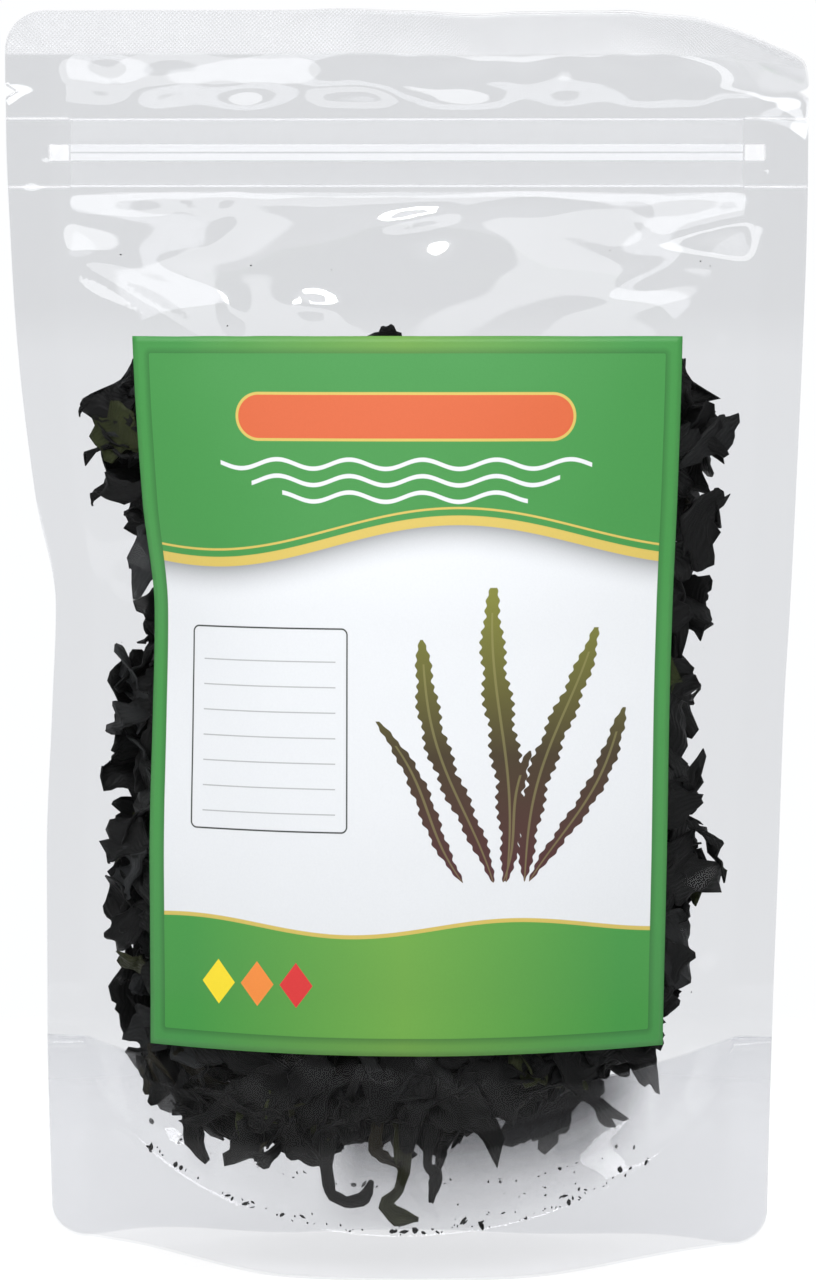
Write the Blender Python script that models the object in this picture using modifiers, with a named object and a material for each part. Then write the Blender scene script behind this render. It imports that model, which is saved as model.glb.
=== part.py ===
"""A clear stand-up zip pouch filled with dried wakame flakes, standing on its opened bottom gusset.

Metres, +Z up. The origin is on the surface that the pouch stands on, below the middle of its foot.
The front faces -Y. Film positions are given on the flat pouch: s across, from its middle, and t up from its foot.
"""
import math
import random

import bmesh
import bpy
import numpy as np
from mathutils import Matrix, Vector, noise

# The flat pouch
POUCH_WIDTH = 0.160
POUCH_HEIGHT = 0.2508
SIDE_SEAL = 0.009
TOP_SEAL = 0.009
CORNER_RADIUS = 0.008
FILM = 0.0004
GAP = 0.0003
HALF_WIDTH = POUCH_WIDTH / 2
HALF_CAVITY = HALF_WIDTH - SIDE_SEAL

# The bottom gusset: an arched seal joins it to each panel, and its fold stays up as a ridge
GUSSET_DEPTH = 0.045
GUSSET_SEAL_LOW = 0.008
GUSSET_FOLD_LEFT = 0.001
RIDGE_MIDDLE = 0.032
PUNCH_RADIUS = 0.0035
PUNCH_HEIGHT = 0.0145

# The press-to-close zip: a flange on each panel, two hooked lips in front and an arrow-headed rib behind
ZIP_MIDDLE = 0.2225
ZIP_FLANGE = 0.0136
ZIP_HALF_LENGTH = 0.067
ZIP_FLAT = (0.200, 0.215)
FLAT_UNTIL = 0.0675

# How the filled pouch stands: half depth of the bow, and half width of the outline, at heights up the film
BOW = ((0.0, 0.0260), (0.045, 0.0265), (0.090, 0.0265), (0.130, 0.0250), (0.154, 0.0205), (0.180, 0.0140),
       (0.198, 0.0080), (0.209, 0.0034), (0.2155, 0.00175), (0.2225, 0.00175), (0.2305, 0.00175),
       (0.236, 0.0013), (0.2425, 0.0002), (POUCH_HEIGHT, 0.0))
LEFT_EDGE = ((0.0, 0.0718), (0.045, 0.0726), (0.080, 0.0726), (0.112, 0.0713), (0.132, 0.0705), (0.154, 0.0745),
             (0.186, 0.0781), (0.205, 0.0792), (0.228, HALF_WIDTH), (POUCH_HEIGHT, HALF_WIDTH))
RIGHT_EDGE = ((0.0, 0.0729), (0.045, 0.0737), (0.080, 0.0748), (0.112, 0.0758), (0.132, 0.0769), (0.154, 0.0779),
              (0.186, 0.0792), (0.205, 0.0798), (0.220, HALF_WIDTH), (POUCH_HEIGHT, HALF_WIDTH))
SEALED_FIN = 0.5 * GAP + 0.5 * FILM
GUSSETED_FIN = SEALED_FIN + FILM + GAP
FIN_CLOSES = (0.046, 0.056)
BACK_FULLER = 0.0006
FOOT_RISE_LEFT = 0.0038
FOOT_RISE_RIGHT = 0.0026
FOOT_RISE_ENDS = 0.030
DENT_DEPTH = 0.0035
DENT_PLACE = (-0.058, 0.122)
DENT_SIZE = (0.014, 0.018)
LEAN_START = 0.2315
LEAN_ANGLE = math.radians(30)
LEAN_ACROSS = (-0.045, 0.015)
BEND_FROM = (FLAT_UNTIL, 0.2305)
BEND_WAY = (0.6, 0.8)
BEND_RADIUS = 0.020

# The label on the front panel, and the tear notches beside the zip
LABEL_WIDTH = 0.111
LABEL_BOTTOM = 0.045
LABEL_TOP = 0.186
LABEL_THICKNESS = 0.0003
NOTCH_DEPTH = 0.002
NOTCH_HEIGHT = 0.0024
NOTCH_AT = 0.2347

# The heap of dried flakes
HEAP_LOW = 0.022
HEAP_TOP = 0.178
CORE_INSET = 0.0055
CORE_LUMPS = 0.0022
CORE_SUBDIVISIONS = 2
CLEARANCE = 0.0006
FLAKE_THICKNESS = 0.0007
FLAKE_COUNT = 104
FLAKE_CORNERS = 7
FLAKE_SIZE = (0.0090, 0.0135)
FLAKE_SEED = 27
LOW_FLAKES = 0.045
TRIES = 5
HANGING = ((-0.044, 0.021, 0.027, 8), (-0.031, 0.024, 0.024, 30), (-0.015, 0.018, 0.029, -10),
           (-0.003, 0.013, 0.033, 12), (0.008, 0.019, 0.027, -20), (0.026, 0.023, 0.025, 20), (0.041, 0.028, 0.023, -12))
HANGING_STRETCH = 1.8
HANGING_SLOPE = math.radians(14)


def through(stations, t):
    """The height at t of a smooth curve through the stations, which never swings past them."""
    xs, ys = np.array(stations, float).T
    rises = np.diff(ys) / np.diff(xs)
    same_way = rises[:-1] * rises[1:] > 0
    total = np.where(same_way, rises[:-1] + rises[1:], 1.0)
    slopes = np.concatenate(([0.0], np.where(same_way, 2 * rises[:-1] * rises[1:] / total, 0.0), [0.0]))
    i = int(np.clip(np.searchsorted(xs, t) - 1, 0, len(xs) - 2))
    span = xs[i + 1] - xs[i]
    u = min(max((t - xs[i]) / span, 0.0), 1.0)
    return (ys[i] * (1 + 2 * u) * (1 - u) ** 2 + ys[i + 1] * u * u * (3 - 2 * u)
            + span * (slopes[i] * u * (1 - u) ** 2 - slopes[i + 1] * u * u * (1 - u)))


def ramp(low, high, x):
    """0 below low, 1 above high, and a smooth step between."""
    u = min(max((x - low) / (high - low), 0.0), 1.0)
    return u * u * (3 - 2 * u)


def mix(a, b, share):
    return a + (b - a) * share


def half_depth(s, t, front):
    """From the middle plane to a panel's mid surface."""
    q = min(abs(s) / HALF_CAVITY, 1.0)
    pillow = 1 - q * q
    flat = 1 - ramp(FLAT_UNTIL / HALF_CAVITY, 1.0, q)
    shape = mix(pillow, flat, ramp(*ZIP_FLAT, t))
    fin = mix(GUSSETED_FIN, SEALED_FIN, ramp(*FIN_CLOSES, t))
    depth = fin + through(BOW, t) * shape
    if not front:
        return depth + BACK_FULLER * pillow * (1 - ramp(*ZIP_FLAT, t))
    away = ((s - DENT_PLACE[0]) / DENT_SIZE[0]) ** 2 + ((t - DENT_PLACE[1]) / DENT_SIZE[1]) ** 2
    return depth - DENT_DEPTH * math.exp(-away) * pillow ** 0.5


def across(s, t):
    """The x of a film line: the bowed film draws its side edges in, more on the left."""
    left, right = through(LEFT_EDGE, t), through(RIGHT_EDGE, t)
    middle, skew = (right + left) / POUCH_WIDTH, (right - left) / POUCH_WIDTH
    return s * (middle + skew * s / HALF_WIDTH)


def film_line(x, t):
    """The s whose film line passes through x at height t."""
    s = x
    for _ in range(4):
        s += x - across(s, t)
    return s


def bent(x, y, s, t):
    """Where a point at x and y goes: the foot lifts at its ends, the top leans and its right corner bends over."""
    past = (s - BEND_FROM[0]) * BEND_WAY[0] + (t - BEND_FROM[1]) * BEND_WAY[1]
    if past > 0:
        turn = past / BEND_RADIUS
        drawn_in = past - (BEND_RADIUS + y) * math.sin(turn)
        x -= drawn_in * BEND_WAY[0]
        t -= drawn_in * BEND_WAY[1]
        y = y * math.cos(turn) - BEND_RADIUS * (1 - math.cos(turn))
    if t <= LEAN_START:
        rise = FOOT_RISE_LEFT if s < 0 else FOOT_RISE_RIGHT
        rise *= ramp(0.30, 0.80, abs(s) / HALF_WIDTH) * max(0.0, 1 - t / FOOT_RISE_ENDS) ** 2
        return Vector((x, y, t + rise))
    run = t - LEAN_START
    turn = LEAN_ANGLE * ramp(*LEAN_ACROSS, s) * run / (POUCH_HEIGHT - LEAN_START) + 1e-6
    chord = run * math.sin(turn / 2) / (turn / 2)
    return Vector((x, y * math.cos(turn) - chord * math.sin(turn / 2),
                   LEAN_START + chord * math.cos(turn / 2) + y * math.sin(turn)))


def panel_point(s, t, side, outward=0.0):
    """A point on the front (side -1) or back (side 1) panel, moved outward from its mid surface."""
    here = bent(across(s, t), side * half_depth(s, t, side < 0), s, t)
    if not outward:
        return here
    step = 1e-4
    over = panel_point(s + step, t, side) - panel_point(s - step, t, side)
    up = panel_point(s, t + step, side) - panel_point(s, t - step, side)
    return here + side * -outward * over.cross(up).normalized()


def rounded(s, t):
    """Film lines near a corner, drawn in so that the flat pouch's corner is round."""
    a = (abs(s) - (HALF_WIDTH - CORNER_RADIUS)) / CORNER_RADIUS
    low = t < POUCH_HEIGHT / 2
    edge = 0.0 if low else POUCH_HEIGHT
    b = (CORNER_RADIUS - abs(edge - t)) / CORNER_RADIUS
    if a <= 0 or b <= 0:
        return s, t
    fit = max(a, b) / math.hypot(a, b)
    corner_t = CORNER_RADIUS if low else POUCH_HEIGHT - CORNER_RADIUS
    return (math.copysign(HALF_WIDTH - CORNER_RADIUS + a * fit * CORNER_RADIUS, s),
            corner_t + (-1 if low else 1) * b * fit * CORNER_RADIUS)


def spaced(*runs):
    """Grid lines from (start, end, steps) runs that follow each other."""
    lines = [runs[0][0]]
    for start, end, steps in runs:
        lines += [mix(start, end, i / steps) for i in range(1, steps + 1)]
    return lines


HALF_LABEL = LABEL_WIDTH / 2
LABEL_COLUMNS = spaced((-HALF_LABEL, HALF_LABEL, 10))
LEFT_COLUMNS = ((-HALF_WIDTH, -HALF_CAVITY, 3), (-HALF_CAVITY, -FLAT_UNTIL, 1), (-FLAT_UNTIL, -HALF_LABEL, 1))
RIGHT_COLUMNS = ((HALF_LABEL, FLAT_UNTIL, 1), (FLAT_UNTIL, HALF_CAVITY, 1), (HALF_CAVITY, HALF_WIDTH, 3))
COLUMNS = spaced(*LEFT_COLUMNS, (-HALF_LABEL, HALF_LABEL, 10), *RIGHT_COLUMNS)
LABEL_ROWS = spaced((LABEL_BOTTOM, LABEL_TOP, 11))
TOP_ROWS = ((LABEL_TOP, 0.204, 2), (0.204, 0.2155, 1), (0.2155, 0.2305, 2),
            (0.2305, POUCH_HEIGHT - CORNER_RADIUS, 3), (POUCH_HEIGHT - CORNER_RADIUS, POUCH_HEIGHT, 3))
FOOT_ROWS = ((0.0, CORNER_RADIUS, 3), (CORNER_RADIUS, LABEL_BOTTOM, 3))
FRONT_ROWS = spaced(*FOOT_ROWS, (LABEL_BOTTOM, LABEL_TOP, 11), *TOP_ROWS)
BACK_ROWS = spaced(*FOOT_ROWS, (LABEL_BOTTOM, LABEL_TOP, 7), *TOP_ROWS)


def material(name, colour, roughness, alpha=1.0):
    made = bpy.data.materials.new(name)
    made.use_nodes = True
    shader = made.node_tree.nodes["Principled BSDF"]
    shader.inputs["Base Color"].default_value = (*colour, 1.0)
    shader.inputs["Roughness"].default_value = roughness
    shader.inputs["Metallic"].default_value = 0.0
    shader.inputs["Alpha"].default_value = alpha
    made.diffuse_color = (*colour, alpha)
    return made


def collection(name):
    made = bpy.data.collections.new(name)
    bpy.context.scene.collection.children.link(made)
    return made


def move_to(obj, group):
    for holder in list(obj.users_collection):
        holder.objects.unlink(obj)
    group.objects.link(obj)


def formed_sheet(name, columns, rows, place, group, finish):
    """A grid with the given lines, formed by place(column, row) into an open sheet."""
    bpy.ops.mesh.primitive_grid_add(x_subdivisions=len(columns) - 1, y_subdivisions=len(rows) - 1, size=2)
    sheet = bpy.context.object
    sheet.name = name
    sheet.data.name = name
    for vertex in sheet.data.vertices:
        i = round((vertex.co.x + 1) / 2 * (len(columns) - 1))
        j = round((vertex.co.y + 1) / 2 * (len(rows) - 1))
        vertex.co = place(columns[i], rows[j])
    move_to(sheet, group)
    sheet.data.materials.append(finish)
    sheet.data.shade_smooth()
    return sheet


def thicken(sheet, thickness, offset=0.0):
    wall = sheet.modifiers.new("wall", "SOLIDIFY")
    wall.thickness = thickness
    wall.offset = offset


def cut_with(obj, cutter, label):
    cut = obj.modifiers.new(label, "BOOLEAN")
    cut.operation = "DIFFERENCE"
    cut.solver = "EXACT"
    cut.object = cutter


def as_cutter(obj, name, group):
    obj.name = name
    obj.hide_render = True
    obj.display_type = "WIRE"
    move_to(obj, group)
    return obj


def notch_cutters(group):
    """Two wedges through both panels, one in each side edge."""
    wedges = []
    for end, name in ((-1, "left_tear_notch"), (1, "right_tear_notch")):
        bpy.ops.mesh.primitive_cone_add(vertices=4, radius1=1.0, radius2=1.0, depth=2.0)
        wedge = bpy.context.object
        wedge.data.transform(Matrix.Rotation(math.radians(90), 4, "X"))
        reach = Matrix.Diagonal((NOTCH_DEPTH, 0.006, NOTCH_HEIGHT / 2, 1))
        at = panel_point(end * HALF_WIDTH, NOTCH_AT, -1)
        wedge.data.transform(Matrix.Translation(at) @ reach)
        wedges.append(as_cutter(wedge, name, group))
    return wedges


def punch_cutters(group):
    """Rods through both gusset plies at the foot's corners, where the panels weld to each other."""
    rods = []
    for end, name in ((-1, "left_gusset_punch"), (1, "right_gusset_punch")):
        bpy.ops.mesh.primitive_cylinder_add(vertices=12, radius=PUNCH_RADIUS, depth=0.01)
        rod = bpy.context.object
        rod.data.transform(Matrix.Rotation(math.radians(90), 4, "X"))
        x = across(end * (HALF_WIDTH - PUNCH_RADIUS - 0.001), PUNCH_HEIGHT)
        rod.data.transform(Matrix.Translation((x, 0, PUNCH_HEIGHT)))
        rods.append(as_cutter(rod, name, group))
    return rods


def panel(name, side, rows, group, finish, cutters):
    """One face of the pouch, from its foot to its top edge."""
    def place(s, t):
        return panel_point(*rounded(s, t), side)
    sheet = formed_sheet(name, COLUMNS, rows, place, group, finish)
    if side > 0:
        sheet.data.flip_normals()
    thicken(sheet, FILM)
    for cutter in cutters:
        cut_with(sheet, cutter, cutter.name)
    return sheet


def seal_arch(s):
    """Height of the arched seal that joins the gusset to a panel."""
    q = min(abs(s) / HALF_CAVITY, 1.0)
    top = GUSSET_DEPTH - GUSSET_FOLD_LEFT
    return top - (top - GUSSET_SEAL_LOW) * math.sqrt(1 - q * q)


def ridge_height(s):
    q = min(abs(s) / HALF_CAVITY, 1.0)
    return mix(RIDGE_MIDDLE, GUSSET_DEPTH - FILM, q * q)


def gusset_reach(s):
    """Half depth of the gusset's underside where the arched seal lets it leave a panel."""
    return half_depth(s, seal_arch(s), True) - 0.5 * FILM - GAP - FILM


def gusset_point(s, w):
    """A point on the gusset's underside. w runs from -2, the front foot, by -1 and 1, the seal arches, to 2."""
    side, ply = math.copysign(1, w), abs(w)
    if ply >= 1:
        s, t = rounded(s, seal_arch(s) * (2 - ply))
        here = bent(across(s, t), side * (half_depth(s, t, True) - 0.5 * FILM - GAP - FILM), s, t)
        return here + Vector((0, 0, 0.0002 * (ply - 1)))
    arch = seal_arch(s)
    return Vector((across(s, arch), side * gusset_reach(s) * ply, mix(ridge_height(s), arch, ply)))


def bottom_gusset(group, finish, cutters):
    plies = spaced((-2, -1, 3), (-1, 0, 3), (0, 1, 3), (1, 2, 3))
    sheet = formed_sheet("bottom_gusset", COLUMNS, plies, gusset_point, group, finish)
    thicken(sheet, FILM, offset=1.0)
    for cutter in cutters:
        cut_with(sheet, cutter, cutter.name)
    return sheet


def label(group, finish):
    """The printed paper, laid on the front panel's outer face along the panel's own grid lines."""
    outward = 0.5 * FILM + GAP + 0.5 * LABEL_THICKNESS
    def place(s, t):
        return panel_point(s, t, -1, outward)
    sheet = formed_sheet("label", LABEL_COLUMNS, LABEL_ROWS, place, group, finish)
    thicken(sheet, LABEL_THICKNESS)
    return sheet


def extruded_strip(name, outline, group, finish):
    """A zip strip: its section, given as (y, height from the zip's middle), drawn out along X."""
    curve = bpy.data.curves.new(name, "CURVE")
    curve.dimensions = "2D"
    curve.fill_mode = "BOTH"
    curve.extrude = ZIP_HALF_LENGTH
    spline = curve.splines.new("POLY")
    spline.points.add(len(outline) - 1)
    for point, (y, height) in zip(spline.points, outline):
        point.co = (y, height, 0.0, 1.0)
    spline.use_cyclic_u = True
    strip = bpy.data.objects.new(name, curve)
    group.objects.link(strip)
    strip.matrix_world = Matrix(((0, 0, 1, 0), (1, 0, 0, 0), (0, 1, 0, ZIP_MIDDLE), (0, 0, 0, 1)))
    curve.materials.append(finish)
    return strip


def zip_strips(group, finish):
    outer = half_depth(0, ZIP_MIDDLE, False) - 0.5 * FILM - GAP
    inner = outer - FILM
    flange = ZIP_FLANGE / 2
    lip_in, lip_out, hook, lip_end = 0.0010, 0.0015, 0.0007, 0.0006
    lips = [(-outer, flange), (-outer, -flange), (-inner, -flange), (-inner, -lip_out), (lip_end, -lip_out),
            (lip_end, -hook), (lip_end - 0.0003, -hook), (lip_end - 0.0003, -lip_in), (-inner, -lip_in)]
    lips += [(y, -height) for y, height in reversed(lips[2:])]
    stem, head, tip, neck = 0.0003, 0.00085, 0.0006, 0.0
    rib = [(outer, flange), (outer, -flange), (inner, -flange), (inner, -stem), (neck, -stem), (neck, -head),
           (-tip, -0.0002)]
    rib += [(y, -height) for y, height in reversed(rib[2:])]
    extruded_strip("zip_lips_front", lips, group, finish)
    extruded_strip("zip_rib_back", rib, group, finish)


def floor_under(s, y):
    """Height of the gusset's upper face below a point, which runs straight between its grid columns."""
    i = int(np.clip(np.searchsorted(COLUMNS, s), 1, len(COLUMNS) - 1))
    left, right = COLUMNS[i - 1], COLUMNS[i]
    heights = [mix(ridge_height(c), seal_arch(c), min(abs(y) / gusset_reach(c), 1.0)) for c in (left, right)]
    return mix(*heights, (s - left) / (right - left)) + 2 * FILM


def kept_inside(point, room):
    """The nearest place for a point that leaves this much room to the films."""
    t = min(max(point.z, 0.004), ZIP_MIDDLE - ZIP_FLANGE)
    limit = HALF_CAVITY - 0.0015 - room
    s = min(max(film_line(point.x, t), -limit), limit)
    depth = max(half_depth(s, t, point.y < 0) - 0.5 * FILM - room, 0.0002)
    y = min(max(point.y, -depth), depth)
    z = max(t, floor_under(s, y) + room)
    if z > t:
        depth = max(half_depth(s, z, y < 0) - 0.5 * FILM - room, 0.0002)
        y = min(max(y, -depth), depth)
    return Vector((across(s, z), y, z))


def heap_point(way, inset):
    """Where the heap's surface lies in a direction from its middle, drawn in by inset."""
    squarer = max(math.hypot(way.x, way.z), 1e-6) / max((way.x ** 8 + way.z ** 8) ** 0.125, 1e-6)
    wide, high = way.x * squarer, way.z * squarer
    t = mix(HEAP_LOW + inset, HEAP_TOP - inset, (high + 1) / 2)
    s = wide * (HALF_CAVITY - 0.004 - 1.6 * inset)
    depth = math.copysign(abs(way.y) ** 0.5, way.y) * (half_depth(s, t, way.y < 0) - 0.5 * FILM)
    return kept_inside(Vector((across(s, t), depth, t)), CLEARANCE + inset)


def spiral(count):
    """Directions spread evenly over a sphere."""
    turn = math.pi * (3 - math.sqrt(5))
    for i in range(count):
        z = 1 - (2 * i + 1) / count
        ring = math.sqrt(1 - z * z)
        yield Vector((ring * math.cos(turn * i), ring * math.sin(turn * i), z))


def heap_core(group, finish):
    """The packed middle of the heap, which the flakes stand out of."""
    mesh = bpy.data.meshes.new("wakame_heap")
    bm = bmesh.new()
    bmesh.ops.create_icosphere(bm, subdivisions=CORE_SUBDIVISIONS, radius=1.0)
    for vertex in bm.verts:
        way = vertex.co.normalized()
        inset = CORE_INSET + CORE_LUMPS * noise.noise(way * 4)
        spot = heap_point(way, inset)
        spot.z = max(spot.z, floor_under(film_line(spot.x, spot.z), 0.0) + inset)
        vertex.co = spot
    bmesh.ops.recalc_face_normals(bm, faces=bm.faces)
    bm.to_mesh(mesh)
    bm.free()
    core = bpy.data.objects.new("wakame_heap", mesh)
    group.objects.link(core)
    mesh.materials.append(finish)
    return core


def reaches_film(bm):
    """Whether a flake whose corners were kept inside still comes near a film, as across the gusset's ridge."""
    samples = [vertex.co for vertex in bm.verts]
    samples += [face.calc_center_median() for face in bm.faces]
    for share in (0.25, 0.5, 0.75):
        samples += [edge.verts[0].co.lerp(edge.verts[1].co, share) for edge in bm.edges]
    return any((kept_inside(p, 0.6 * CLEARANCE) - p).length > 1e-5 for p in samples)


def flake(name, place, size, stretch, chance, group):
    """Adds one crumpled flake, unless it reaches a film: a ragged fan of triangles with a thickness."""
    bm = bmesh.new()
    bmesh.ops.create_circle(bm, cap_ends=True, cap_tris=True, segments=FLAKE_CORNERS, radius=1.0)
    for i, vertex in enumerate(bm.verts):
        ragged = size * chance.uniform(0.72, 1.18)
        fold = size * chance.uniform(0.10, 0.34) * (1 if i % 2 else -1)
        flat = Vector((vertex.co.x * ragged * stretch, vertex.co.y * ragged / stretch, fold))
        vertex.co = kept_inside(place @ flat, CLEARANCE + FLAKE_THICKNESS)
    bmesh.ops.recalc_face_normals(bm, faces=bm.faces)
    bmesh.ops.solidify(bm, geom=bm.faces[:], thickness=FLAKE_THICKNESS)
    bmesh.ops.recalc_face_normals(bm, faces=bm.faces)
    fits = not reaches_film(bm)
    if fits:
        mesh = bpy.data.meshes.new(name)
        bm.to_mesh(mesh)
        group.objects.link(bpy.data.objects.new(name, mesh))
    bm.free()
    return fits


def lying_frame(centre, outward, spin, tilt):
    """A frame at centre whose Z leans by tilt from outward, in the direction spin."""
    upright = outward.to_track_quat("Z", "Y").to_matrix().to_4x4()
    leaning = Matrix.Rotation(spin, 4, "Z") @ Matrix.Rotation(tilt, 4, "X")
    return Matrix.Translation(centre) @ upright @ leaning


def scattered_flakes(group):
    """Flakes over the whole core, lying against the films at random slants."""
    chance = random.Random(FLAKE_SEED)
    for i, way in enumerate(spiral(FLAKE_COUNT)):
        inner, outer = heap_point(way, CORE_INSET), heap_point(way, 0.0)
        outward = (outer - inner).normalized() if (outer - inner).length > 1e-5 else way
        for _ in range(TRIES):
            centre = inner.lerp(outer, chance.uniform(0.25, 0.75))
            tilt = math.radians(chance.uniform(10, 30 if centre.z < LOW_FLAKES else 62))
            place = lying_frame(centre, outward, chance.uniform(0, math.tau), tilt)
            if flake(f"flake_{i:03d}", place, chance.uniform(*FLAKE_SIZE), chance.uniform(1.0, 1.35), chance, group):
                break


def hanging_flakes(group):
    """The narrow curled pieces that hang into the front trough, below the heap."""
    chance = random.Random(FLAKE_SEED + 1)
    upright = Matrix.Rotation(math.radians(90) - HANGING_SLOPE, 4, "X") @ Matrix.Rotation(math.radians(90), 4, "Z")
    for i, (x, low, length, lean) in enumerate(HANGING):
        centre = low + length / 2
        depth = half_depth(x, centre, True) - 0.0045
        place = Matrix.Translation((x, -depth, centre)) @ Matrix.Rotation(math.radians(lean), 4, "Y") @ upright
        flake(f"hanging_{i}", place, 0.5 * length / HANGING_STRETCH, HANGING_STRETCH, chance, group)


def largest_body(obj):
    """Keeps the one body that the union made: sealed hollows are filled and loose scraps dropped."""
    bm = bmesh.new()
    bm.from_mesh(obj.data)
    bmesh.ops.triangulate(bm, faces=bm.faces)
    left, bodies = set(bm.verts), []
    while left:
        body, edge = set(), [left.pop()]
        while edge:
            vertex = edge.pop()
            body.add(vertex)
            near = [e.other_vert(vertex) for e in vertex.link_edges]
            fresh = [v for v in near if v in left]
            left.difference_update(fresh)
            edge += fresh
        bodies.append(body)
    bodies.sort(key=len)
    bmesh.ops.delete(bm, geom=[v for body in bodies[:-1] for v in body], context="VERTS")
    bm.to_mesh(obj.data)
    bm.free()


def wakame(group, finish):
    """The heap as one body: its core and every flake that stands out of it, joined by one union."""
    core = heap_core(group, finish)
    loose = collection("loose_flakes")
    scattered_flakes(loose)
    hanging_flakes(loose)
    join = core.modifiers.new("join", "BOOLEAN")
    join.operation = "UNION"
    join.operand_type = "COLLECTION"
    join.solver = "MANIFOLD"
    join.collection = loose
    bpy.context.view_layer.update()
    joined = bpy.data.meshes.new_from_object(core.evaluated_get(bpy.context.evaluated_depsgraph_get()))
    core.modifiers.clear()
    core.data = joined
    for piece in list(loose.objects):
        bpy.data.objects.remove(piece)
    bpy.data.collections.remove(loose)
    largest_body(core)
    return core


def main():
    for obj in list(bpy.data.objects):
        bpy.data.objects.remove(obj)
    parts = collection("wakame_pouch")
    cutters = collection("cutters")
    film = material("clear_film", (0.86, 0.87, 0.88), 0.12, 0.3)
    strip = material("zip_strip", (0.92, 0.93, 0.94), 0.2, 0.5)
    paper = material("label_print", (0.10, 0.42, 0.09), 0.45)
    weed = material("dried_wakame", (0.012, 0.014, 0.010), 0.55)

    notches = notch_cutters(cutters)
    panel("front_panel", -1, FRONT_ROWS, parts, film, notches)
    panel("back_panel", 1, BACK_ROWS, parts, film, notches)
    bottom_gusset(parts, film, punch_cutters(cutters))
    zip_strips(parts, strip)
    label(parts, paper)
    wakame(parts, weed)


main()
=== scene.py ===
# %% [markdown]
# # A clear stand-up pouch of dried wakame
#
# The object is a filled pouch. Clear film shows near-black flakes of dried seaweed, a printed label
# sits on the front, and a zip runs under the welded top edge. The solids of the same pouch are already
# made in CAD. This file dresses them: it makes finer film, flakes and print, and gives each its finish.

# %% Tools, the frame and its box
import math
import random
from bisect import bisect_right

import bmesh
import bpy
from mathutils import Matrix, Vector, noise


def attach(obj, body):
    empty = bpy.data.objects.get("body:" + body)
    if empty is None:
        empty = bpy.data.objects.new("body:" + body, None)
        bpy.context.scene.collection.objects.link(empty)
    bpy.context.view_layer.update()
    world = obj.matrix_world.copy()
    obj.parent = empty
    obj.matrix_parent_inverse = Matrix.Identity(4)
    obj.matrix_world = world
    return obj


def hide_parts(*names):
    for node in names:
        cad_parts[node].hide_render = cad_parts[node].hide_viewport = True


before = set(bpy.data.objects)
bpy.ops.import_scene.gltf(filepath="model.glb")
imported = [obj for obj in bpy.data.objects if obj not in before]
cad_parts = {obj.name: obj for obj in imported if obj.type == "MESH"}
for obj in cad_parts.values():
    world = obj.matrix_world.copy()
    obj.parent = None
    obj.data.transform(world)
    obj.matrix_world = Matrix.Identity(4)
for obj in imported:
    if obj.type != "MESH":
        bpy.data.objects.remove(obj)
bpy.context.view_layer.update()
scene = bpy.context.scene
noise.seed_set(11)
print("CAD nodes:", sorted(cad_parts))

# %% [markdown]
# ## The flat pouch and how it stands
#
# A pouch is made flat and bows out when it is filled. A point of the film is therefore given by where
# it was on the flat pouch: s across, from the middle, and t up from the foot. Curves through a few
# stations say how deep the film bows and how far its side edges draw in. They are the same numbers as
# in the CAD, so a finer film lies just where the solid one lies.

# %% Sizes of the pouch, in metres
HALF_WIDTH = 0.080
HALF_CAVITY = 0.071
HEIGHT = 0.2508
CORNER_RADIUS = 0.008
TOP_SEAL = 0.009
FILM = 0.0004
GAP = 0.0003
ZIP_MIDDLE = 0.2225
ZIP_FLANGE = 0.0136
ZIP_FLAT = (0.200, 0.215)
FLAT_UNTIL = 0.0675
SEALED_FIN = 0.5 * GAP + 0.5 * FILM
GUSSETED_FIN = SEALED_FIN + FILM + GAP
FIN_CLOSES = (0.046, 0.056)
HALF_LABEL = 0.0555
LABEL_BOTTOM = 0.045
LABEL_TOP = 0.186
LABEL_THICKNESS = 0.0003


def smooth_curve(*stations):
    """A function of t: a smooth curve through (t, value) stations that never swings past them."""
    xs, ys = zip(*stations)
    rises = [(ys[i + 1] - ys[i]) / (xs[i + 1] - xs[i]) for i in range(len(xs) - 1)]
    slopes = [0.0]
    for a, b in zip(rises, rises[1:]):
        slopes.append(2 * a * b / (a + b) if a * b > 0 else 0.0)
    slopes.append(0.0)

    def value(t):
        i = min(max(bisect_right(xs, t) - 1, 0), len(xs) - 2)
        span = xs[i + 1] - xs[i]
        u = min(max((t - xs[i]) / span, 0.0), 1.0)
        ends = ys[i] * (1 + 2 * u) * (1 - u) ** 2 + ys[i + 1] * u * u * (3 - 2 * u)
        return ends + span * (slopes[i] * u * (1 - u) ** 2 - slopes[i + 1] * u * u * (1 - u))

    return value


bow = smooth_curve((0.0, 0.0260), (0.045, 0.0265), (0.090, 0.0265), (0.130, 0.0250), (0.154, 0.0205),
                   (0.180, 0.0140), (0.198, 0.0080), (0.209, 0.0034), (0.2155, 0.00175), (0.2225, 0.00175),
                   (0.2305, 0.00175), (0.236, 0.0013), (0.2425, 0.0002), (HEIGHT, 0.0))
left_edge = smooth_curve((0.0, 0.0718), (0.045, 0.0726), (0.080, 0.0726), (0.112, 0.0713), (0.132, 0.0705),
                         (0.154, 0.0745), (0.186, 0.0781), (0.205, 0.0792), (0.228, 0.080), (HEIGHT, 0.080))
right_edge = smooth_curve((0.0, 0.0729), (0.045, 0.0737), (0.080, 0.0748), (0.112, 0.0758), (0.132, 0.0769),
                          (0.154, 0.0779), (0.186, 0.0792), (0.205, 0.0798), (0.220, 0.080), (HEIGHT, 0.080))


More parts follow.
